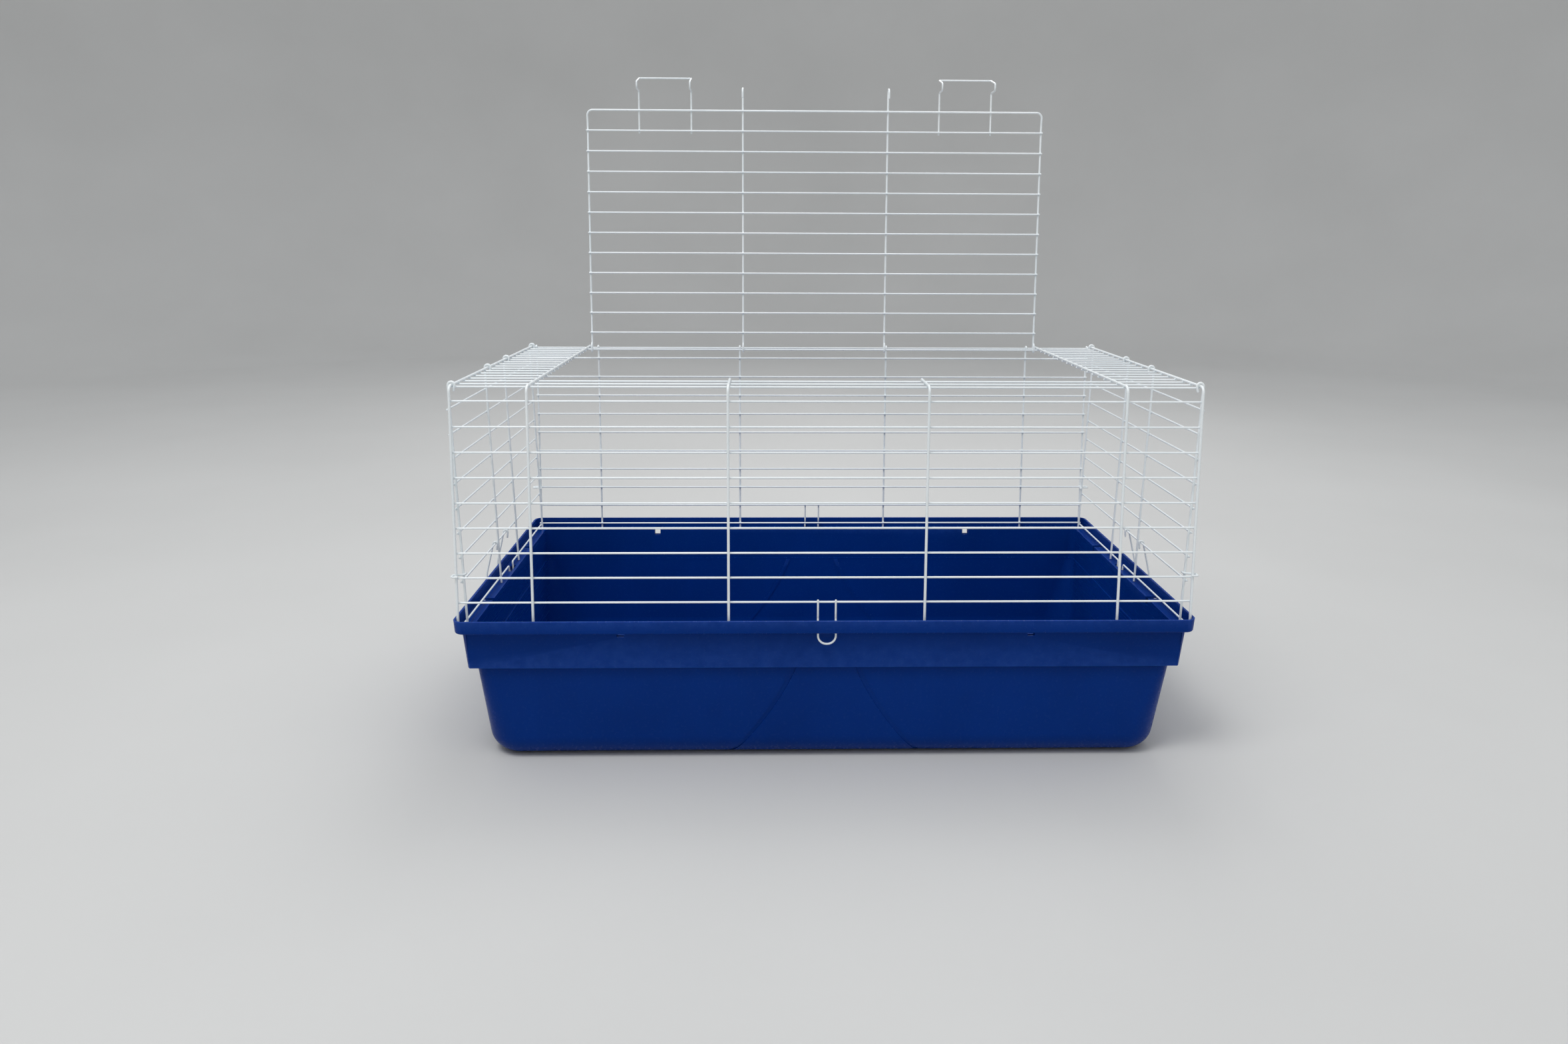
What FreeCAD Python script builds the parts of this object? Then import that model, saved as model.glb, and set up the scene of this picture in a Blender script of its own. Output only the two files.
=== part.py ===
import FreeCAD, Part
import math
import os

# Wire rabbit cage on a deep plastic tray, with the roof lid standing open.
# Millimetres.  X runs along the long side, Y from front to back, Z up.
# The origin is under the centre of the object, on the surface it stands on.

Vector = FreeCAD.Vector

# ---- driving dimensions ----------------------------------------------------
# tray
TRAY_LENGTH = 1000.0
TRAY_WIDTH = 530.0
TRAY_HEIGHT = 209.0
TRAY_WALL = 2.6
LIP_WALL = 3.0
LIP_BAND = 18.0            # height of the raised band round the rim
LIP_CORNER = 14.0          # plan radius of the band's corners
LIP_DRAFT = 1.2
LIP_ROUND = 2.4            # rounding under the band
CHANNEL_DEPTH = 15.0       # from the top of the lip to the ledge that the wire stands on
SKIRT_INSET = 9.0          # how far the skirt stands in under the band
SKIRT_HEIGHT = 53.0
SKIRT_DRAFT = 5.0
SKIRT_CORNER = 12.0
POST_WIDTH = 7.4           # corner posts left proud of the long skirts
POST_PROUD = 3.0
LEDGE_SHOULDER = 22.0      # inner edge of the ledge, from the outside of the lip
UPPER_WALL_DRAFT = 2.0
PAN_INSET = 23.0           # outside of the pan just under the skirt
PAN_SLOPE = 3.5            # degrees, leaning in towards the floor
PAN_CORNER_TOP = 16.0
PAN_CORNER_BOTTOM = 54.0
PAN_BOTTOM_ROUND = 34.0
BELL_TOP_HALF = 37.0       # half width of the flared panel under the skirt
BELL_FLARE = 90.0          # how much wider each side is at the floor
BELL_STRAIGHT = 0.55       # share of the flare that is even, the rest grows towards the floor
GROOVE_WIDTH = 7.0
GROOVE_DEPTH = 1.1
GROOVE_END = 6.0           # the grooves stop this far above the floor
WINDOW_WIDTH = 10.0
WINDOW_HEIGHT = 13.0
LONG_WINDOW_X = 278.0
SHORT_WINDOW_Y = 130.0

# wire sizes
UPRIGHT_DIA = 3.6          # front and roof wires
PANEL_DIA = 3.2            # back and end uprights, lid frame
CROSS_DIA = 2.7            # all cross wires, clips, latches
CLASP_DIA = 2.8
WELD = 0.1                 # how far crossing wires are pressed into each other
FIT = 0.3                  # least gap between parts that move apart

# wire top
CORNER_INSET = 6.5         # corner wires, from the outside of the lip at each end
FRONT_INSET = 11.5         # front wires, from the outside of the lip
INNER_UPRIGHT_X = 132.0
END_BAY = 100.0            # roof between the corner wires and the opening
FRONT_PITCH = 34.1
FRONT_WIRES = 10
FRONT_BOTTOM_RISE = 3.0    # lowest cross wire above the ledge
ROOF_DROP = 17.1           # from the roof cross wires down to the first front one
ROOF_START = 16.0          # first roof wire behind the front wires
REAR_INSET = 16.5          # last roof wire, from the outside of the lip
ROOF_WIRES = 19
OPENING_FIRST = 3          # roof wires in front of the opening
ROOF_BEND = 8.0            # inside the corner between front and roof
STUB = 3.0                 # how far a welded wire runs on past its neighbour

# back panel
BACK_BEHIND = 3.3          # uprights behind the rear roof wire
BACK_CORNER_STEP = 6.5     # corner uprights, in from the front ones
BACK_LID_STEP = 6.5        # second uprights, inside the sides of the lid thrown back
BACK_INNER_X = 129.5
BACK_TOP_DROP = 18.3       # highest back cross wire, below the roof
BACK_BOTTOM_RISE = 9.0

# end panels
END_TOP_OUT = 4.2          # curl radius over the roof edge wire
END_LEAN = 13.7            # how far the foot stands in from the top
END_MID_WIRES = (7, 11)    # roof wires that the two middle uprights stand in front of
END_MID_STEPS = (9.5, 3.6)
END_INSET_Y = 11.5         # outer uprights, in from the front wires
END_TOP_DROP = 29.5        # highest end cross wire, below the roof
END_WIRES = 8
END_BELOW_HOOK = 10.9      # lowest full cross wire, below the corner hooks
END_BOTTOM_RISE = 7.5
CLIP_WIDTH = 24.0          # U shaped clips that pass through the ledge
CLIP_DROP = 18.5           # below the ledge
CLIP_SLOT_GAP = 2.4
END_CLIP_Y = 15.0
END_CLIP_LEAN = 2.2        # the end clips lean inwards, along the draft of the skirt
CORNER_HOOK_WIRE = 2       # front cross wires below the hooks
CORNER_HOOK_RISE = 3.4     # hooks above the next one

# lid
LID_SIDE_STEP = 8.5        # sides of the lid, inside the edges of the opening
LID_LAST = 33.5            # last cross wire, from the free edge
LID_LEAN = 24.0            # the sides lean forward over this length before the free edge
LID_FIRST = 29.5
LID_WIRES = 11
LID_MID_X = 123.0
LID_CORNER = 9.0
LID_LOOP_GAP = 0.4
LID_LOOP_RISE = 8.5
HOOK_PAST = 9.2            # latch hooks, past the second roof wire when closed
HOOK_RADIUS = 8.0
HOOK_TAIL = 8.5
CLASP_WIDTH = 88.0
CLASP_CENTRE = 254.0
CLASP_STEP_PAST = 5.5      # straight legs, past the second roof wire when closed
CLASP_DEPTH = 31.0
CLASP_FLAT = 11.5
CLASP_SHORT = 0.5          # finger bar, short of the first roof wire when closed
CLASP_LIFT = 6.0
CLASP_TAIL = 5.0

# side latches
BAIL_CENTRE_Y = -33.5
BAIL_WIDTH = 65.0
BAIL_GAP = 0.5
BAIL_LIP_GAP = 2.0
BAIL_BELOW_BAND = 4.0
BAIL_TAIL = 6.0

# ---- worked out from them --------------------------------------------------
TOP = TRAY_HEIGHT
LEDGE = TOP - CHANNEL_DEPTH
BAND_BOTTOM = TOP - LIP_BAND
SKIRT_BOTTOM = BAND_BOTTOM - SKIRT_HEIGHT
FRONT_Y = -TRAY_WIDTH / 2 + FRONT_INSET
EDGE_X = TRAY_LENGTH / 2 - CORNER_INSET
OPENING_HALF = EDGE_X - END_BAY
UPRIGHT_R = UPRIGHT_DIA / 2
PANEL_R = PANEL_DIA / 2
CROSS_R = CROSS_DIA / 2
CLASP_R = CLASP_DIA / 2
WIRE_FOOT = LEDGE + FIT
FRONT_BOTTOM = LEDGE + FRONT_BOTTOM_RISE
FRONT_TOP = FRONT_BOTTOM + (FRONT_WIRES - 1) * FRONT_PITCH
ROOF_Z = FRONT_TOP + ROOF_DROP
ROOF_LONG_Z = ROOF_Z + CROSS_R + UPRIGHT_R - WELD
FRONT_CROSS_Y = FRONT_Y + CROSS_R + UPRIGHT_R - WELD
ROOF_PITCH = (TRAY_WIDTH / 2 - REAR_INSET - FRONT_Y - ROOF_START) / (ROOF_WIRES - 1)
ROOF_Y = [FRONT_Y + ROOF_START + ROOF_PITCH * k for k in range(ROOF_WIRES)]
HINGE_Y = ROOF_Y[-2]
REAR_Y = ROOF_Y[-1]
BACK_Y = REAR_Y + BACK_BEHIND
BACK_CROSS_Y = BACK_Y - PANEL_R - CROSS_R + WELD
BACK_BOTTOM = LEDGE + BACK_BOTTOM_RISE
BACK_PITCH = (ROOF_Z - BACK_TOP_DROP - BACK_BOTTOM) / (FRONT_WIRES - 1)
HOOK_LEVEL = FRONT_BOTTOM + CORNER_HOOK_WIRE * FRONT_PITCH + CORNER_HOOK_RISE
END_LOWEST = HOOK_LEVEL - END_BELOW_HOOK
END_PITCH = (ROOF_Z - END_TOP_DROP - END_LOWEST) / (END_WIRES - 1)
END_TOP_X = EDGE_X + END_TOP_OUT
END_OUTER_Y = -FRONT_Y - END_INSET_Y
END_CROSS_STEP = PANEL_R + CROSS_R - WELD
FRONT_XS = [-EDGE_X, -OPENING_HALF, -INNER_UPRIGHT_X, INNER_UPRIGHT_X, OPENING_HALF, EDGE_X]
LID_HALF = OPENING_HALF - LID_SIDE_STEP
BACK_CORNER_X = EDGE_X - BACK_CORNER_STEP
BACK_OUTER_X = LID_HALF - BACK_LID_STEP
BACK_XS = [-BACK_CORNER_X, -BACK_OUTER_X, -BACK_INNER_X, BACK_INNER_X, BACK_OUTER_X, BACK_CORNER_X]
END_MID_YS = [ROOF_Y[wire] - step for wire, step in zip(END_MID_WIRES, END_MID_STEPS)]
END_YS = [-END_OUTER_Y, *END_MID_YS, END_OUTER_Y - FIT]


# ---- wire helpers ----------------------------------------------------------
def corner(before, point, after, radius):
    """Start, middle and end of the arc that rounds a corner of a bent wire."""
    back = (before - point).normalize()
    on = (after - point).normalize()
    turn = math.pi - back.getAngle(on)
    tangent = radius * math.tan(turn / 2)
    start = point + back * tangent
    end = point + on * tangent
    inward = (back + on).normalize()
    centre = point + inward * (radius / math.cos(turn / 2))
    return start, centre - inward * radius, end


def bent_wire(points, radii, diameter):
    """A round wire along straight runs joined by arcs."""
    points = [Vector(*p) for p in points]
    if not isinstance(radii, (list, tuple)):
        radii = [radii] * (len(points) - 2)
    edges = []
    here = points[0]
    for k, radius in enumerate(radii, start=1):
        start, middle, end = corner(points[k - 1], points[k], points[k + 1], radius)
        if (start - here).Length > 1e-4:
            edges.append(Part.LineSegment(here, start).toShape())
        edges.append(Part.Arc(start, middle, end).toShape())
        here = end
    if (points[-1] - here).Length > 1e-4:
        edges.append(Part.LineSegment(here, points[-1]).toShape())
    section = Part.Circle(points[0], points[1] - points[0], diameter / 2).toShape()
    return round_ends(Part.Wire(edges).makePipeShell([Part.Wire(section)], True, False), diameter)


def straight_wire(start, end, diameter):
    start = Vector(*start)
    run = Vector(*end) - start
    return round_ends(Part.makeCylinder(diameter / 2, run.Length, start, run), diameter)


def round_ends(wire, diameter):
    """The cut ends of a coated wire are slightly rounded."""
    ends = [face for face in wire.Faces if face.Surface.TypeId == "Part::GeomPlane"]
    edges = [edge for face in ends for edge in face.Edges]
    return wire.makeFillet(0.3 * diameter, edges)


def mirror_x(shape):
    return shape.mirror(Vector(0, 0, 0), Vector(1, 0, 0))


def group(shapes):
    return Part.makeCompound(shapes)


# ---- tray ------------------------------------------------------------------
def rim_outline(inset_x, inset_y, z, radius):
    """Rounded rectangle, set in from the outside of the lip."""
    x = TRAY_LENGTH / 2 - inset_x
    y = TRAY_WIDTH / 2 - inset_y
    edges = []
    for turn, (cx, cy) in enumerate(((x, y), (-x, y), (-x, -y), (x, -y))):
        centre = Vector(cx - math.copysign(radius, cx), cy - math.copysign(radius, cy), z)
        first = 90.0 * turn
        edges.append(Part.makeCircle(radius, centre, Vector(0, 0, 1), first, first + 90.0))
    ring = []
    for k, arc in enumerate(edges):
        ring.append(arc)
        following = edges[(k + 1) % 4]
        ring.append(Part.LineSegment(arc.Vertexes[-1].Point, following.Vertexes[0].Point).toShape())
    return Part.Wire(ring)


def taper(low, high):
    """Solid between two rim outlines, each given as (inset_x, inset_y, z, radius)."""
    return Part.makeLoft([rim_outline(*low), rim_outline(*high)], True, True)


def pan_body(offset):
    """The pan's outside moved in by an offset: drafted walls and a large bottom round."""
    slope = math.tan(math.radians(PAN_SLOPE))
    top_inset = PAN_INSET + offset
    low_inset = top_inset + (SKIRT_BOTTOM - offset) * slope
    body = taper((low_inset, low_inset, offset, PAN_CORNER_BOTTOM - offset),
                 (top_inset, top_inset, SKIRT_BOTTOM, PAN_CORNER_TOP - offset))
    bottom = [e for e in body.Edges if abs(e.BoundBox.ZMax - offset) < 0.01]
    return body.makeFillet(PAN_BOTTOM_ROUND - offset, bottom)


def bell_ribbons():
    """Two bands, flaring like a bell towards the floor, run through front and back."""
    levels = 4
    inner = []
    outer = []
    for k in range(levels):
        share = k / (levels - 1)
        z = SKIRT_BOTTOM + GROOVE_END - SKIRT_BOTTOM * share
        half = BELL_TOP_HALF + BELL_FLARE * (BELL_STRAIGHT * share + (1 - BELL_STRAIGHT) * share ** 2)
        inner.append(Vector(half, -TRAY_WIDTH, z))
        outer.append(Vector(half + GROOVE_WIDTH, -TRAY_WIDTH, z))
    curves = []
    for points in (inner, outer):
        spline = Part.BSplineCurve()
        spline.interpolate(points)
        curves.append(spline.toShape())
    caps = [Part.LineSegment(inner[0], outer[0]).toShape(), Part.LineSegment(inner[-1], outer[-1]).toShape()]
    face = Part.Face(Part.Wire(Part.__sortEdges__(curves + caps)))
    right = face.extrude(Vector(0, 2 * TRAY_WIDTH, 0))
    return group([right, mirror_x(right)])


def box(x, y, z):
    """Box from three (low, high) ranges."""
    return Part.makeBox(x[1] - x[0], y[1] - y[0], z[1] - z[0], Vector(x[0], y[0], z[0]))


def wall_windows():
    """Openings through ledge, skirt and upper wall, two in each side."""
    z = (LEDGE - WINDOW_HEIGHT + 2.0, LEDGE + 2.0)
    half = WINDOW_WIDTH / 2
    outer = LIP_WALL + LIP_DRAFT + 1.0
    inner = LEDGE_SHOULDER + TRAY_WALL + 2.0
    cuts = []
    for side in (-1, 1):
        for along in (-LONG_WINDOW_X, LONG_WINDOW_X):
            ys = sorted((side * (TRAY_WIDTH / 2 - outer), side * (TRAY_WIDTH / 2 - inner)))
            cuts.append(box((along - half, along + half), ys, z))
        for along in (-SHORT_WINDOW_Y, SHORT_WINDOW_Y):
            xs = sorted((side * (TRAY_LENGTH / 2 - outer), side * (TRAY_LENGTH / 2 - inner)))
            cuts.append(box(xs, (along - half, along + half), z))
    return cuts


def clip_slots():
    """Slots in the ledge for the U shaped clips of the four panels."""
    z = (BAND_BOTTOM - 2.0, LEDGE + 2.0)
    half = CLIP_WIDTH / 2 + CROSS_R + CLIP_SLOT_GAP
    across = CROSS_R + 0.9
    cuts = []
    for y in (front_clip_y(), -front_clip_y()):
        cuts.append(box((-half, half), (y - across, y + across), z))
    across = CROSS_R + CLIP_SLOT_GAP / 2
    for side in (-1, 1):
        x = end_x(END_BOTTOM_RISE + LEDGE) + END_CROSS_STEP
        xs = sorted((side * (x - END_CLIP_LEAN - across), side * (x + across)))
        cuts.append(box(xs, (END_CLIP_Y - half, END_CLIP_Y + half), z))
    return cuts


def make_tray():
    wall = TRAY_WALL
    skirt_low = SKIRT_INSET + SKIRT_DRAFT
    shoulder_low = LEDGE_SHOULDER + UPPER_WALL_DRAFT
    band = taper((LIP_DRAFT, LIP_DRAFT, BAND_BOTTOM, LIP_CORNER), (0, 0, TOP, LIP_CORNER))
    under = [e for e in band.Edges if abs(e.BoundBox.ZMax - BAND_BOTTOM) < 0.01]
    band = band.makeFillet(LIP_ROUND, under)
    skirt = taper((skirt_low, skirt_low, SKIRT_BOTTOM, SKIRT_CORNER),
                  (SKIRT_INSET, SKIRT_INSET, BAND_BOTTOM + 0.5, SKIRT_CORNER))
    proud = POST_PROUD
    set_back = taper((0, skirt_low + proud, SKIRT_BOTTOM - 1, SKIRT_CORNER),
                     (0, SKIRT_INSET + proud, BAND_BOTTOM, SKIRT_CORNER))
    between = TRAY_LENGTH / 2 - SKIRT_INSET - POST_WIDTH
    panel_zone = box((-between, between), (-TRAY_WIDTH, TRAY_WIDTH), (SKIRT_BOTTOM - 1, BAND_BOTTOM))
    skirt = skirt.cut(panel_zone.cut(set_back))
    outside = band.fuse([skirt, pan_body(0.0)])
    hollow = taper((skirt_low + wall, skirt_low + wall + proud, SKIRT_BOTTOM - 0.1, SKIRT_CORNER - wall),
                   (SKIRT_INSET + wall, SKIRT_INSET + wall + proud, BAND_BOTTOM, SKIRT_CORNER - wall))
    upper_outside = taper((shoulder_low - wall, shoulder_low - wall, SKIRT_BOTTOM - 0.2, SKIRT_CORNER),
                          (LEDGE_SHOULDER - wall, LEDGE_SHOULDER - wall, BAND_BOTTOM, SKIRT_CORNER))
    channel = taper((LIP_WALL + FIT, LIP_WALL + FIT, LEDGE, LIP_CORNER - LIP_WALL),
                    (LIP_WALL, LIP_WALL, TOP + 1, LIP_CORNER - LIP_WALL))
    upper = taper((shoulder_low, shoulder_low, SKIRT_BOTTOM + wall, SKIRT_CORNER),
                  (LEDGE_SHOULDER, LEDGE_SHOULDER, LEDGE + 0.5, SKIRT_CORNER))
    neck_inset = PAN_INSET + wall
    neck = taper((neck_inset, neck_inset, SKIRT_BOTTOM - 0.5, PAN_CORNER_TOP - wall),
                 (neck_inset, neck_inset, SKIRT_BOTTOM + wall + 0.5, PAN_CORNER_TOP - wall))
    tray = outside.cut([hollow.cut(upper_outside), channel, upper, neck, pan_body(wall)])
    tray = tray.cut(wall_windows() + clip_slots())
    ribbons = bell_ribbons()
    grooves = ribbons.common(pan_body(0.0).cut(pan_body(GROOVE_DEPTH)))
    ridges = ribbons.common(pan_body(wall - 0.2).cut(pan_body(wall + GROOVE_DEPTH)))
    return tray.cut(grooves).fuse(ridges).removeSplitter()


# ---- front and roof panel --------------------------------------------------
def front_bent_wire(index):
    """An upright that turns over the front edge and runs back across the roof."""
    x = FRONT_XS[index]
    back = ROOF_Y[OPENING_FIRST - 1] if index in (2, 3) else REAR_Y
    points = [(x, FRONT_Y, WIRE_FOOT), (x, FRONT_Y, ROOF_LONG_Z), (x, back + CROSS_R + STUB, ROOF_LONG_Z)]
    return bent_wire(points, ROOF_BEND, UPRIGHT_DIA)


def wires_along_x(ys_and_zs, low, high):
    return group([straight_wire((low, y, z), (high, y, z), CROSS_DIA) for y, z in ys_and_zs])


def front_cross_wires():
    reach = EDGE_X + UPRIGHT_R
    levels = [(FRONT_CROSS_Y, FRONT_BOTTOM + FRONT_PITCH * k) for k in range(FRONT_WIRES)]
    return wires_along_x(levels, -reach, reach)


def roof_wires(first, last):
    reach = EDGE_X + UPRIGHT_R
    return wires_along_x([(y, ROOF_Z) for y in ROOF_Y[first:last]], -reach, reach)


def roof_strip_wires():
    """The short cross wires of the right roof strip, beside the opening."""
    middle = ROOF_Y[OPENING_FIRST:-2]
    return wires_along_x([(y, ROOF_Z) for y in middle], OPENING_HALF - STUB, EDGE_X + UPRIGHT_R)


def front_clip_y():
    """The front clip drops between the lip and the skirt."""
    return -TRAY_WIDTH / 2 + (LIP_WALL + LIP_DRAFT + SKIRT_INSET) / 2 - 0.6


def floor_clip(cross_y, top_z, clip_y):
    """U shaped clip: welded to a cross wire, its bottom passes through the ledge."""
    half = CLIP_WIDTH / 2
    weld_y = cross_y + math.copysign(2 * CROSS_R - WELD, clip_y)
    bottom = LEDGE - CLIP_DROP
    knee = LEDGE + 9.0
    points = [(-half, weld_y, top_z + 4.0), (-half, weld_y, knee + 6.0), (-half, clip_y, knee - 4.0),
              (-half, clip_y, bottom), (half, clip_y, bottom), (half, clip_y, knee - 4.0),
              (half, weld_y, knee + 6.0), (half, weld_y, top_z + 4.0)]
    round_bottom = half - 0.5
    return bent_wire(points, [3.0, 3.0, round_bottom, round_bottom, 3.0, 3.0], CROSS_DIA)


# ---- back panel ------------------------------------------------------------
def back_upright(index):
    """Upright whose top curls forward over the rear roof wire."""
    x = BACK_XS[index]
    radius = BACK_BEHIND
    top = ROOF_Z + radius
    end_y = REAR_Y - radius
    points = [(x, BACK_Y, WIRE_FOOT), (x, BACK_Y, top), (x, end_y, top), (x, end_y, ROOF_Z - 1.0)]
    return bent_wire(points, radius - 0.01, PANEL_DIA)


def back_cross_wires():
    reach = BACK_CORNER_X + STUB
    levels = [(BACK_CROSS_Y, BACK_BOTTOM + BACK_PITCH * k) for k in range(FRONT_WIRES)]
    return wires_along_x(levels, -reach, reach)


# ---- end panels ------------------------------------------------------------
def end_x(z):
    """Distance of the leaning end uprights from the middle, at a height."""
    share = (ROOF_LONG_Z - z) / (ROOF_LONG_Z - WIRE_FOOT)
    return END_TOP_X - END_LEAN * share


def end_upright(y):
    """Right end upright, its top curled inwards over the roof edge wire."""
    radius = END_TOP_OUT
    top = ROOF_LONG_Z + radius
    inner = EDGE_X - radius
    points = [(end_x(WIRE_FOOT), y, WIRE_FOOT), (END_TOP_X, y, ROOF_LONG_Z - 1.0), (END_TOP_X, y, top),
              (inner, y, top), (inner, y, ROOF_LONG_Z - 2.0), (inner + 1.5, y, ROOF_LONG_Z - 8.5)]
    return bent_wire(points, [20.0, radius - 0.01, radius - 0.01, 5.0], PANEL_DIA)


def end_cross_wires():
    reach = END_OUTER_Y + PANEL_R + STUB - 1.0
    wires = []
    for k in range(END_WIRES):
        z = END_LOWEST + END_PITCH * k
        x = end_x(z) + END_CROSS_STEP
        wires.append(straight_wire((x, -reach, z), (x, reach, z), CROSS_DIA))
    return group(wires)


def end_bottom_wire():
    """Lowest end wire, with a U dipped through the slot in the ledge."""
    z = LEDGE + END_BOTTOM_RISE
    x = end_x(z) + END_CROSS_STEP
    reach = END_OUTER_Y + PANEL_R + STUB - 1.0
    near = END_CLIP_Y - CLIP_WIDTH / 2
    far = END_CLIP_Y + CLIP_WIDTH / 2
    bottom = LEDGE - CLIP_DROP
    dip = CLIP_WIDTH / 2 - 0.5
    low_x = x - END_CLIP_LEAN
    points = [(x, -reach, z), (x, near, z), (low_x, near, bottom),
              (low_x, far, bottom), (x, far, z), (x, reach, z)]
    return bent_wire(points, [3.0, dip, dip, 3.0], CROSS_DIA)


def corner_hooks():
    """Hooks on the right end panel that hold the front and back corner wires."""
    level = HOOK_LEVEL
    side = end_x(level) - PANEL_R - CROSS_R + WELD
    out = EDGE_X + UPRIGHT_R + CROSS_R + 3.0
    hooks = []
    for way, corner_y, edge_x in ((-1, FRONT_Y, EDGE_X), (1, BACK_Y, BACK_CORNER_X)):
        start_y = END_YS[0 if way < 0 else -1]
        past = corner_y + way * (UPRIGHT_R + CROSS_R + 0.6)
        points = [(side, start_y - way * 4.0, level), (side, start_y + way * 3.0, level),
                  (out, corner_y - way * 4.5, level), (out, past, level), (edge_x - 3.0, past, level)]
        hooks.append(bent_wire(points, [3.0, 2.6, 2.6], CROSS_DIA))
    return group(hooks)


# ---- lid -------------------------------------------------------------------
LOOP_R = CROSS_R + LID_LOOP_GAP + PANEL_R
LID_Y = HINGE_Y + LOOP_R
LID_CROSS_Y = LID_Y - PANEL_R - CROSS_R + WELD
LID_EDGE_Y = LID_Y - 2 * PANEL_R + WELD
LID_LENGTH = HINGE_Y - ROOF_Y[OPENING_FIRST - 1]
LID_PITCH = (LID_LENGTH - LID_FIRST - LID_LAST) / (LID_WIRES - 1)
LID_EDGE_Z = ROOF_Z + LID_LENGTH


def loop_points(x):
    """Hinge loop, from the tip in front of the hinge wire, under it and up behind."""
    tip = ROOF_Z + LID_LOOP_RISE
    low = ROOF_Z - LOOP_R
    return [(x, LID_Y - PANEL_DIA - 0.2, tip + 3.5), (x, HINGE_Y - LOOP_R, tip - 2.0),
            (x, HINGE_Y - LOOP_R, low), (x, LID_Y, low)]


LOOP_RADII = [6.0, LOOP_R - 0.01, LOOP_R - 0.01]


def lid_frame():
    """One wire: hinge loop, side, free edge, side, hinge loop."""
    bend_z = LID_EDGE_Z - LID_LEAN
    left = loop_points(-LID_HALF)
    right = [(-x, y, z) for x, y, z in reversed(left)]
    rim = [(-LID_HALF, LID_Y, bend_z), (-LID_HALF, LID_EDGE_Y, LID_EDGE_Z),
           (LID_HALF, LID_EDGE_Y, LID_EDGE_Z), (LID_HALF, LID_Y, bend_z)]
    radii = LOOP_RADII + [60.0, LID_CORNER, LID_CORNER, 60.0] + list(reversed(LOOP_RADII))
    return bent_wire(left + rim + right, radii, PANEL_DIA)


def lid_upright():
    """Right middle wire of the lid: hinge loop below, latch hook above."""
    x = LID_MID_X
    top = LID_EDGE_Z + ROOF_PITCH + HOOK_PAST
    front = LID_Y - 2 * HOOK_RADIUS
    hook = [(x, LID_Y, top), (x, front, top), (x, front, top - HOOK_RADIUS - HOOK_TAIL)]
    return bent_wire(loop_points(x) + hook, LOOP_RADII + [HOOK_RADIUS - 0.01] * 2, PANEL_DIA)


def lid_cross_wires():
    reach = LID_HALF + PANEL_R + 1.0
    levels = [(LID_CROSS_Y, ROOF_Z + LID_FIRST + LID_PITCH * k) for k in range(LID_WIRES)]
    return wires_along_x(levels, -reach, reach)


def lid_clasp():
    """Right sprung clasp: two legs, a step that drops between roof wires, a finger bar."""
    low = ROOF_Z + LID_FIRST + LID_PITCH * (LID_WIRES - 1) - CLASP_TAIL
    leg_y = LID_EDGE_Y + PANEL_R + CLASP_R - WELD
    step = LID_EDGE_Z + ROOF_PITCH + CLASP_STEP_PAST
    deep = leg_y - CLASP_DEPTH
    side = [(leg_y, low), (leg_y, step), (deep, step), (deep, step + CLASP_FLAT),
            (leg_y + CLASP_LIFT, LID_EDGE_Z + 2 * ROOF_PITCH - CLASP_SHORT)]
    near = CLASP_CENTRE - CLASP_WIDTH / 2
    far = CLASP_CENTRE + CLASP_WIDTH / 2
    points = [(near, y, z) for y, z in side] + [(far, y, z) for y, z in reversed(side)]
    radii = [3.0, 5.0, 4.0, 3.0]
    return bent_wire(points, radii + list(reversed(radii)), CLASP_DIA)


# ---- side latches ----------------------------------------------------------
def side_bail():
    """Right side latch: two eyes round the lowest end wire, and a bar below the band."""
    axis_z = END_LOWEST
    axis_x = end_x(axis_z) + END_CROSS_STEP
    eye = 2 * CROSS_R + BAIL_GAP
    out = TRAY_LENGTH / 2 + BAIL_LIP_GAP + CROSS_R
    bar_z = BAND_BOTTOM - BAIL_BELOW_BAND
    inner = axis_x - eye
    outer = axis_x + eye
    side = [(inner + 0.8, axis_z - eye - BAIL_TAIL), (inner, axis_z - 1.0), (inner, axis_z + eye),
            (outer, axis_z + eye), (outer, axis_z - 1.0), (out, TOP + 2.0), (out, bar_z)]
    near = BAIL_CENTRE_Y - BAIL_WIDTH / 2
    far = BAIL_CENTRE_Y + BAIL_WIDTH / 2
    points = [(x, near, z) for x, z in side] + [(x, far, z) for x, z in reversed(side)]
    radii = [6.0, eye - 0.01, eye - 0.01, 12.0, 12.0, 4.0]
    return bent_wire(points, radii + list(reversed(radii)), CROSS_DIA)


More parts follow.
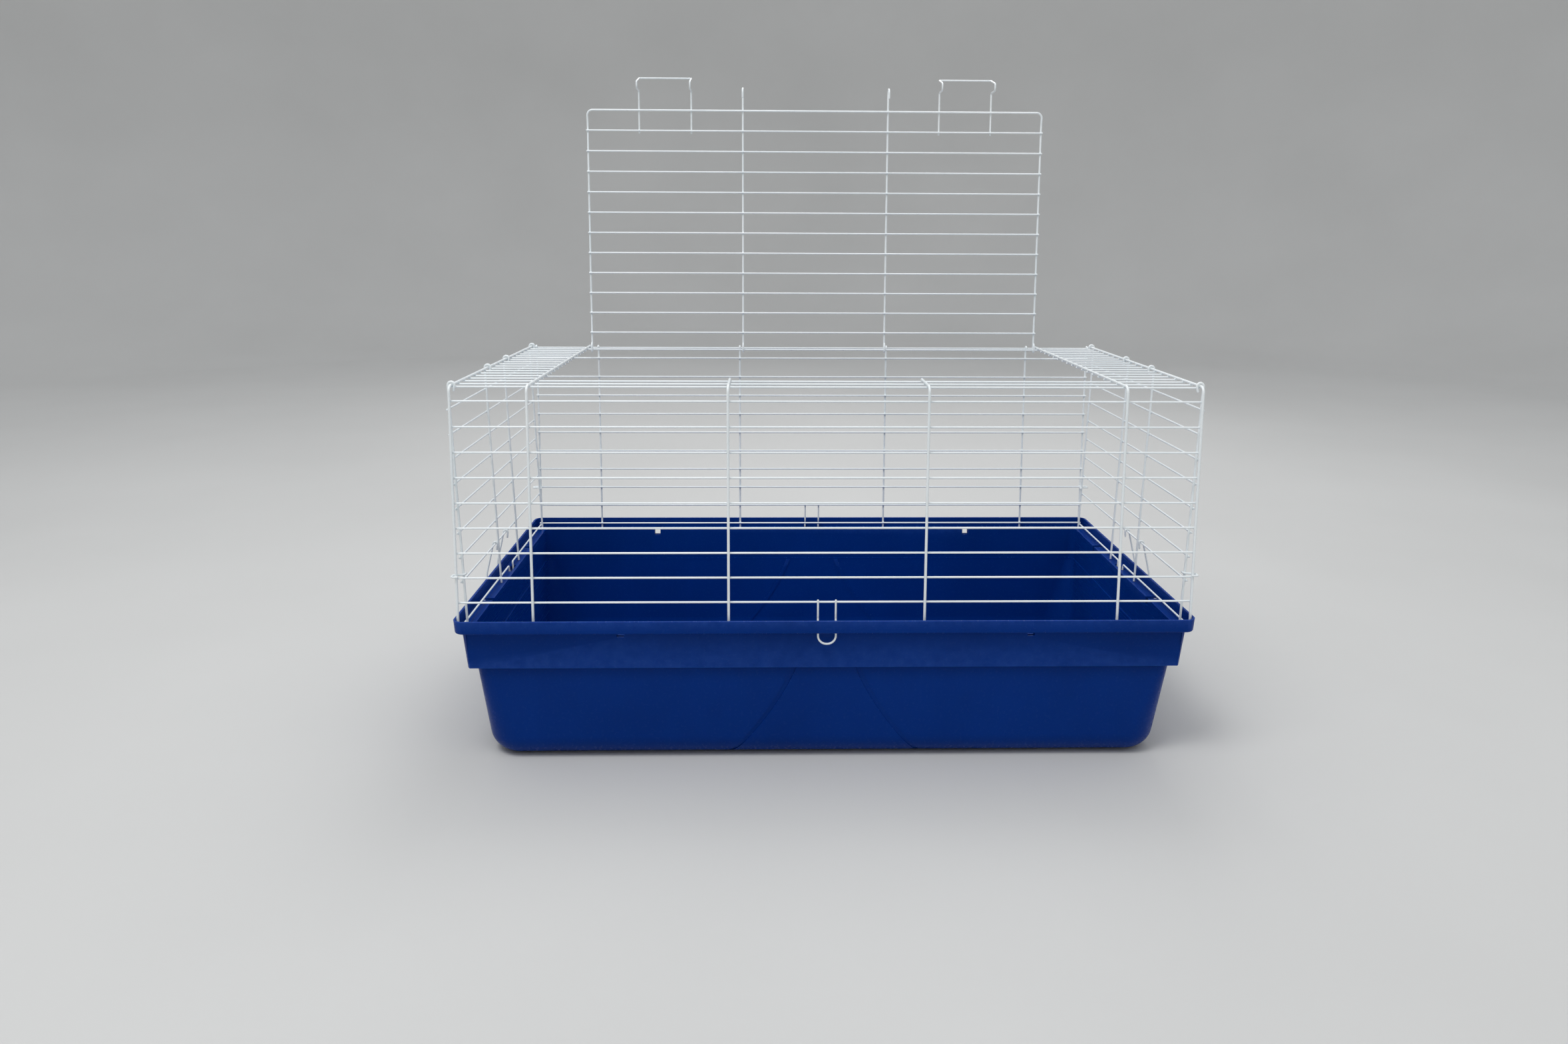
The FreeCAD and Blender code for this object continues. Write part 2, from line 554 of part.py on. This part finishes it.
# ---- nodes -----------------------------------------------------------------
def collect():
    nodes = {"tray": make_tray()}
    for index in range(len(FRONT_XS)):
        nodes[f"front_roof_wire_{index + 1}"] = front_bent_wire(index)
    nodes["front_cross_wires"] = front_cross_wires()
    nodes["roof_front_cross_wires"] = roof_wires(0, OPENING_FIRST)
    nodes["roof_right_cross_wires"] = roof_strip_wires()
    nodes["roof_left_cross_wires"] = mirror_x(roof_strip_wires())
    nodes["lid_hinge_wire"] = roof_wires(ROOF_WIRES - 2, ROOF_WIRES - 1)
    nodes["roof_rear_wire"] = roof_wires(ROOF_WIRES - 1, ROOF_WIRES)
    nodes["front_floor_clip"] = floor_clip(FRONT_CROSS_Y, FRONT_BOTTOM + FRONT_PITCH, front_clip_y())
    for index in range(len(BACK_XS)):
        nodes[f"back_upright_{index + 1}"] = back_upright(index)
    nodes["back_cross_wires"] = back_cross_wires()
    nodes["back_floor_clip"] = floor_clip(BACK_CROSS_Y, BACK_BOTTOM + BACK_PITCH, -front_clip_y())
    right_end = {"cross_wires": end_cross_wires(), "bottom_wire": end_bottom_wire(),
                 "corner_hooks": corner_hooks()}
    for index, y in enumerate(END_YS):
        right_end[f"upright_{index + 1}"] = end_upright(y)
    for name, shape in right_end.items():
        nodes[f"right_end_{name}"] = shape
        nodes[f"left_end_{name}"] = mirror_x(shape)
    nodes["lid_frame"] = lid_frame()
    nodes["lid_upright_right"] = lid_upright()
    nodes["lid_upright_left"] = mirror_x(lid_upright())
    nodes["lid_cross_wires"] = lid_cross_wires()
    nodes["lid_clasp_right"] = lid_clasp()
    nodes["lid_clasp_left"] = mirror_x(lid_clasp())
    nodes["right_bail"] = side_bail()
    nodes["left_bail"] = mirror_x(side_bail())
    return nodes


os.makedirs("parts", exist_ok=True)
for name, shape in collect().items():
    shape.exportStep(f"parts/{name}.step")
    print(f"{name:26s} solids {len(shape.Solids):3d} valid {shape.isValid()} volume {shape.Volume:10.1f}")
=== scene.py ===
import bmesh
import bpy
import math
from mathutils import Matrix, Vector


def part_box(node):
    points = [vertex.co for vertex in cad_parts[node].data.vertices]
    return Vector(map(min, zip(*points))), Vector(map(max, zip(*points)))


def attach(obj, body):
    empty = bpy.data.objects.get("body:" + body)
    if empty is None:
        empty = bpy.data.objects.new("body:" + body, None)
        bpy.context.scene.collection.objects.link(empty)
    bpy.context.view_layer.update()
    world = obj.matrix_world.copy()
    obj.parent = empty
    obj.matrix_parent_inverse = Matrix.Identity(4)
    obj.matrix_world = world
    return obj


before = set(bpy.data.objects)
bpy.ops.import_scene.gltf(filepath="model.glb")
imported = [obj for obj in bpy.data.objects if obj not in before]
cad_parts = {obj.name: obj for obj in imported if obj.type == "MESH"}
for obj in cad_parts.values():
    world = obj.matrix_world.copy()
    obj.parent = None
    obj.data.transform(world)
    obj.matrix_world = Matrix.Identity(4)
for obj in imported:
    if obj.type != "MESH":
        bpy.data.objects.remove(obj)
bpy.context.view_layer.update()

SIDES = ("right", "left")
FRONT_WIRES = [f"front_roof_wire_{i}" for i in range(1, 7)]
BACK_WIRES = [f"back_upright_{i}" for i in range(1, 7)]
LEVEL_GAP = 0.005           # wires further apart than this are separate levels
UPRIGHT_R = 0.0018          # front and roof wires
PANEL_R = 0.0016            # back and end uprights, lid frame
CROSS_R = 0.00135           # cross wires
WELD = 0.0001               # how far crossing wires are pressed into each other
BACK_FACE_INSET = 0.002     # rearmost face of a back upright to the line its beads are set from
BEAD_ALONG = 0.0026         # half sizes of a weld bead: along the upright,
BEAD_ACROSS = 0.0023        # along the cross wire
BEAD_DEPTH = 0.0013         # and through the panel

WORN_SHADE = 0.72           # a dull patch of wire coating, as a share of the darker tone
COAT_GRAIN_RATIO = 1.7      # roughness grain of the coating against its patches
GLOSS_RANGE = 0.14          # how much the roughness of the coating varies
BLUE_DARK = (0.0008, 0.026, 0.185)
BLUE_LIGHT = (0.0011, 0.034, 0.235)
BLUE_STREAK = (0.0016, 0.042, 0.275)
BLUE_WORN = (0.040, 0.120, 0.480)
BLUE_SCATTER = (0.15, 0.45, 1.0)
PAPER_DARK = (0.60, 0.60, 0.59)
PAPER_LIGHT = (0.63, 0.63, 0.62)


# ---- materials -------------------------------------------------------------
class Shade:
    """A principled material and short ways to add nodes to it. All textures use object coordinates."""

    def __init__(self, name):
        self.material = bpy.data.materials.new(name)
        self.material.use_nodes = True
        self.nodes = self.material.node_tree.nodes
        self.links = self.material.node_tree.links
        self.shader = self.nodes["Principled BSDF"]
        self.coords = self.nodes.new("ShaderNodeTexCoord")

    def set(self, **values):
        for name, value in values.items():
            self.shader.inputs[name.replace("_", " ")].default_value = value

    def place(self, stretch=(1, 1, 1)):
        """Object coordinates, scaled by stretch along each axis."""
        mapping = self.nodes.new("ShaderNodeMapping")
        mapping.inputs["Scale"].default_value = stretch
        self.links.new(self.coords.outputs["Object"], mapping.inputs["Vector"])
        return mapping.outputs["Vector"]

    def noise(self, scale, detail=3.0, rough=0.5, stretch=(1, 1, 1)):
        node = self.nodes.new("ShaderNodeTexNoise")
        node.inputs["Scale"].default_value = scale
        node.inputs["Detail"].default_value = detail
        node.inputs["Roughness"].default_value = rough
        self.links.new(self.place(stretch), node.inputs["Vector"])
        return node.outputs["Fac"]

    def ramp(self, value, *stops):
        """A colour for a value, from (position, colour) stops."""
        node = self.nodes.new("ShaderNodeValToRGB")
        band = node.color_ramp.elements
        while len(band) < len(stops):
            band.new(0.5)
        for element, (at, colour) in zip(band, stops):
            element.position = at
            element.color = (*colour, 1.0)
        self.links.new(value, node.inputs["Fac"])
        return node.outputs["Color"]

    def spread(self, value, low, high, start=0.3, end=0.7):
        """The range start to end of a value, mapped onto low to high."""
        node = self.nodes.new("ShaderNodeMapRange")
        for name, number in (("From Min", start), ("From Max", end), ("To Min", low), ("To Max", high)):
            node.inputs[name].default_value = number
        self.links.new(value, node.inputs["Value"])
        return node.outputs["Result"]

    def mix(self, share, first, second):
        """From the first colour to the second, by share; the second may be a fixed colour."""
        node = self.nodes.new("ShaderNodeMix")
        node.data_type = "RGBA"
        self.links.new(share, node.inputs["Factor"])
        self.links.new(first, node.inputs["A"])
        if isinstance(second, tuple):
            node.inputs["B"].default_value = (*second, 1.0)
        else:
            self.links.new(second, node.inputs["B"])
        return node.outputs["Result"]

    def edges(self, low, high):
        """1 on outward edges and 0 elsewhere, by how pointed the surface is."""
        geometry = self.nodes.new("ShaderNodeNewGeometry")
        return self.spread(geometry.outputs["Pointiness"], 0.0, 1.0, low, high)

    def product(self, first, second):
        node = self.nodes.new("ShaderNodeMath")
        node.operation = "MULTIPLY"
        self.links.new(first, node.inputs[0])
        self.links.new(second, node.inputs[1])
        return node.outputs["Value"]

    def bump(self, *layers):
        """Chained bumps, each a (height, strength, distance)."""
        normal = None
        for value, strength, distance in layers:
            node = self.nodes.new("ShaderNodeBump")
            node.inputs["Strength"].default_value = strength
            node.inputs["Distance"].default_value = distance
            self.links.new(value, node.inputs["Height"])
            if normal is not None:
                self.links.new(normal, node.inputs["Normal"])
            normal = node.outputs["Normal"]
        self.links.new(normal, self.shader.inputs["Normal"])

    def feed(self, **values):
        for name, value in values.items():
            self.links.new(value, self.shader.inputs[name.replace("_", " ")])


def coated_wire(name, light, dark, gloss, grain):
    """White baked coating on steel wire: orange peel, slow colour drift, thin dull patches."""
    shade = Shade(name)
    drift = shade.noise(7.0, 4.0, 0.6)
    tone = shade.ramp(drift, (0.32, dark), (0.68, light))
    patches = shade.spread(shade.noise(grain, 6.0, 0.7), 0.0, 0.22, 0.60, 0.74)
    worn = tuple(channel * WORN_SHADE for channel in dark)
    shade.feed(Base_Color=shade.mix(patches, tone, worn))
    grain_noise = shade.noise(grain * COAT_GRAIN_RATIO, 3.0)
    shade.feed(Roughness=shade.spread(grain_noise, gloss, gloss + GLOSS_RANGE))
    shade.bump((shade.noise(650.0, 2.0), 0.16, 0.0003), (shade.noise(120.0, 3.0), 0.10, 0.0006))
    shade.set(Coat_Weight=0.35, Coat_Roughness=0.16, IOR=1.5)
    return shade.material


def moulded_plastic():
    """Blue polypropylene: slow shrink waves, flow streaks, fine hairlines, paler scuffed edges."""
    shade = Shade("tray_plastic_look")
    drift = shade.noise(5.0, 4.0, 0.55)
    tone = shade.ramp(drift, (0.25, BLUE_DARK), (0.75, BLUE_LIGHT))
    streaks = shade.spread(shade.noise(26.0, 5.0, 0.6, (1.0, 1.0, 0.16)), 0.0, 0.16, 0.52, 0.80)
    tone = shade.mix(streaks, tone, BLUE_STREAK)
    scuffs = shade.product(shade.edges(0.545, 0.66), shade.spread(shade.noise(90.0, 5.0), 0.25, 0.75))
    shade.feed(Base_Color=shade.mix(scuffs, tone, BLUE_WORN))
    hairlines = shade.noise(240.0, 3.0, 0.6, (1.0, 0.05, 1.0))
    shade.feed(Roughness=shade.spread(hairlines, 0.17, 0.31))
    shade.bump((shade.noise(11.0, 2.0), 0.05, 0.0020), (shade.noise(900.0, 2.0), 0.07, 0.0002),
               (hairlines, 0.05, 0.0002))
    shade.set(IOR=1.45, Specular_IOR_Level=0.07, Subsurface_Weight=0.30, Subsurface_Scale=0.006)
    shade.shader.inputs["Subsurface Radius"].default_value = BLUE_SCATTER
    return shade.material


UPRIGHT_LOOK = coated_wire("coated_upright_look", (0.93, 0.97, 0.98), (0.85, 0.91, 0.93), 0.26, 60.0)
CROSS_LOOK = coated_wire("coated_cross_look", (0.91, 0.95, 0.965), (0.82, 0.88, 0.90), 0.28, 80.0)
SPRING_LOOK = coated_wire("coated_spring_look", (0.89, 0.93, 0.94), (0.80, 0.86, 0.88), 0.22, 70.0)
WELD_LOOK = coated_wire("coated_weld_look", (0.82, 0.87, 0.89), (0.69, 0.76, 0.79), 0.36, 160.0)
TRAY_LOOK = moulded_plastic()


def look_for(node):
    """The finish of a CAD node, by what kind of wire it is."""
    if node == "tray":
        return TRAY_LOOK
    if "clasp" in node or "bail" in node or "clip" in node or "hooks" in node:
        return SPRING_LOOK
    if "cross_wires" in node or node in ("lid_hinge_wire", "roof_rear_wire") or "bottom_wire" in node:
        return CROSS_LOOK
    return UPRIGHT_LOOK


for node_name, node_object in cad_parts.items():
    node_object.data.materials.clear()
    node_object.data.materials.append(look_for(node_name))


# ---- weld beads where wires cross ------------------------------------------
def levels(node, axis):
    """Low corner, high corner and centre of each separate straight wire in a node, along an axis."""
    points = sorted((vertex.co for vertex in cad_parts[node].data.vertices), key=lambda p: p[axis])
    groups = [[points[0]]]
    for point in points[1:]:
        if point[axis] - groups[-1][-1][axis] > LEVEL_GAP:
            groups.append([])
        groups[-1].append(point)
    result = []
    for group in groups:
        low = Vector([min(p[k] for p in group) for k in range(3)])
        high = Vector([max(p[k] for p in group) for k in range(3)])
        result.append((low, high, (low + high) / 2))
    return result


def middle(node, axis):
    """Halfway across a node's box, along an axis."""
    low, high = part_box(node)
    return (low[axis] + high[axis]) / 2


def add_bead(mesh, centre, size):
    """One rounded collar of coating at a crossing."""
    matrix = Matrix.Translation(centre) @ Matrix.Diagonal((*size, 1.0))
    bmesh.ops.create_icosphere(mesh, subdivisions=2, radius=1.0, matrix=matrix)


def finish_beads(name, mesh, body):
    """One piece from a mesh of beads, riding the body its wires are on."""
    data = bpy.data.meshes.new(name)
    mesh.to_mesh(data)
    mesh.free()
    for polygon in data.polygons:
        polygon.use_smooth = True
    piece = bpy.data.objects.new(name, data)
    bpy.context.scene.collection.objects.link(piece)
    data.materials.append(WELD_LOOK)
    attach(piece, body)


def panel_beads(mesh, uprights, cross_node, upright_y):
    """Beads of a flat panel: uprights at x positions against the levels of a cross wire node."""
    for low, high, centre in levels(cross_node, 2):
        contact = (centre.y + upright_y) / 2
        for x in uprights:
            if low.x <= x <= high.x:
                add_bead(mesh, (x, contact, centre.z), (BEAD_ACROSS, BEAD_DEPTH, BEAD_ALONG))


front_mesh = bmesh.new()
front_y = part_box("front_roof_wire_3")[0][1] + UPRIGHT_R
panel_beads(front_mesh, [middle(n, 0) for n in FRONT_WIRES], "front_cross_wires", front_y)
finish_beads("front_weld_beads", front_mesh, "wire_top")

back_mesh = bmesh.new()
back_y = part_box("back_upright_3")[1][1] - BACK_FACE_INSET
panel_beads(back_mesh, [middle(n, 0) for n in BACK_WIRES], "back_cross_wires", back_y)
finish_beads("back_weld_beads", back_mesh, "wire_top")

roof_mesh = bmesh.new()
roof_nodes = ["roof_front_cross_wires", "roof_right_cross_wires", "roof_left_cross_wires",
              "lid_hinge_wire", "roof_rear_wire"]
for wire in FRONT_WIRES:
    wire_low, wire_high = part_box(wire)
    wire_x = (wire_low[0] + wire_high[0]) / 2
    for node in roof_nodes:
        for low, high, centre in levels(node, 1):
            if low.x <= wire_x <= high.x and centre.y < wire_high[1]:
                top = centre.z + CROSS_R - WELD / 2
                add_bead(roof_mesh, (wire_x, centre.y, top), (BEAD_ACROSS, BEAD_ALONG, BEAD_DEPTH))
finish_beads("roof_weld_beads", roof_mesh, "wire_top")

lid_mesh = bmesh.new()
lid_low, lid_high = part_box("lid_frame")
lid_y = lid_high[1] - PANEL_R
lid_xs = [lid_low[0] + PANEL_R, middle("lid_upright_left", 0), middle("lid_upright_right", 0),
          lid_high[0] - PANEL_R]
panel_beads(lid_mesh, lid_xs, "lid_cross_wires", lid_y)
finish_beads("lid_weld_beads", lid_mesh, "roof_lid")

for side in SIDES:
    way = 1 if side == "right" else -1
    end_mesh = bmesh.new()
    for _, _, centre in levels(f"{side}_end_cross_wires", 2):
        inner = centre.x - way * CROSS_R
        for i in range(1, 5):
            y = middle(f"{side}_end_upright_{i}", 1)
            add_bead(end_mesh, (inner, y, centre.z), (BEAD_DEPTH, BEAD_ACROSS, BEAD_ALONG))
    finish_beads(f"{side}_end_weld_beads", end_mesh, "wire_top")


# ---- floor and backdrop ----------------------------------------------------
def studio_bowl():
    """A wide pale floor that curves up into a plain wall all round."""
    flat, bend, wall = 5.0, 2.0, 5.0      # radius of the floor, of its curve, and the wall's height
    turns = 96
    profile = [(flat, 0.0)]
    profile += [(flat + bend * math.sin(a), bend * (1 - math.cos(a)))
                for a in (math.radians(step) for step in range(10, 91, 10))]
    profile.append((flat + bend, wall))
    mesh = bmesh.new()
    rings = []
    for radius, height in profile:
        rings.append([mesh.verts.new((radius * math.cos(2 * math.pi * t / turns),
                                      radius * math.sin(2 * math.pi * t / turns), height))
                      for t in range(turns)])
    mesh.faces.new(rings[0])
    for inner, outer in zip(rings, rings[1:]):
        for t in range(turns):
            mesh.faces.new((inner[t], outer[t], outer[(t + 1) % turns], inner[(t + 1) % turns]))
    data = bpy.data.meshes.new("studio_floor")
    mesh.to_mesh(data)
    mesh.free()
    for polygon in data.polygons:
        polygon.use_smooth = len(polygon.vertices) == 4
    floor = bpy.data.objects.new("studio_floor", data)
    bpy.context.scene.collection.objects.link(floor)
    shade = Shade("studio_paper")
    shade.feed(Base_Color=shade.ramp(shade.noise(1.2), (0.3, PAPER_DARK), (0.7, PAPER_LIGHT)))
    shade.set(Roughness=0.85)
    data.materials.append(shade.material)


studio_bowl()


# ---- light and camera ------------------------------------------------------
def soft_light(name, place, aim, size, power):
    lamp = bpy.data.lights.new(name, "AREA")
    lamp.size = size
    lamp.energy = power
    holder = bpy.data.objects.new(name, lamp)
    holder.location = place
    holder.rotation_euler = (Vector(aim) - Vector(place)).to_track_quat("-Z", "Y").to_euler()
    bpy.context.scene.collection.objects.link(holder)


LIGHT_AIM = (0.0, 0.0, 0.40)
soft_light("key_light", place=(-1.1, -1.5, 3.4), aim=LIGHT_AIM, size=1.3, power=52.0)
soft_light("fill_light", place=(2.9, -2.1, 2.2), aim=LIGHT_AIM, size=2.6, power=9.0)
soft_light("back_light", place=(0.4, 2.2, 2.6), aim=LIGHT_AIM, size=1.8, power=24.0)

SKY_COLOUR = (0.95, 0.97, 1.0, 1.0)
SKY_STRENGTH = 0.75

world = bpy.context.scene.world or bpy.data.worlds.new("studio_world")
bpy.context.scene.world = world
world.use_nodes = True
sky = world.node_tree.nodes["Background"]
sky.inputs["Color"].default_value = SKY_COLOUR
sky.inputs["Strength"].default_value = SKY_STRENGTH

LENS = 24.6                 # mm, on a sensor SENSOR_WIDTH mm wide
SENSOR_WIDTH = 36.0
SHIFT_X = -0.0047
SHIFT_Y = -0.0867
FAR_CLIP = 60.0
CAMERA_PLACE = Vector((-0.0799, -1.6363, 0.7226))
PITCH = math.radians(-8.13)
YAW = math.radians(-1.27)
ROLL = math.radians(0.28)

camera_data = bpy.data.cameras.new("camera")
camera_data.lens = LENS
camera_data.sensor_width = SENSOR_WIDTH
camera_data.shift_x = SHIFT_X
camera_data.shift_y = SHIFT_Y
camera_data.clip_end = FAR_CLIP
camera = bpy.data.objects.new("camera", camera_data)
forward = Vector((-math.sin(YAW) * math.cos(PITCH), math.cos(YAW) * math.cos(PITCH), math.sin(PITCH)))
level_right = Vector((math.cos(YAW), math.sin(YAW), 0.0))
level_up = level_right.cross(forward)
right = level_right * math.cos(ROLL) + level_up * math.sin(ROLL)
up = level_up * math.cos(ROLL) - level_right * math.sin(ROLL)
camera.matrix_world = Matrix.Translation(CAMERA_PLACE) @ Matrix((right, up, -forward)).transposed().to_4x4()
bpy.context.scene.collection.objects.link(camera)
bpy.context.scene.camera = camera
bpy.context.scene.view_settings.view_transform = "Standard"
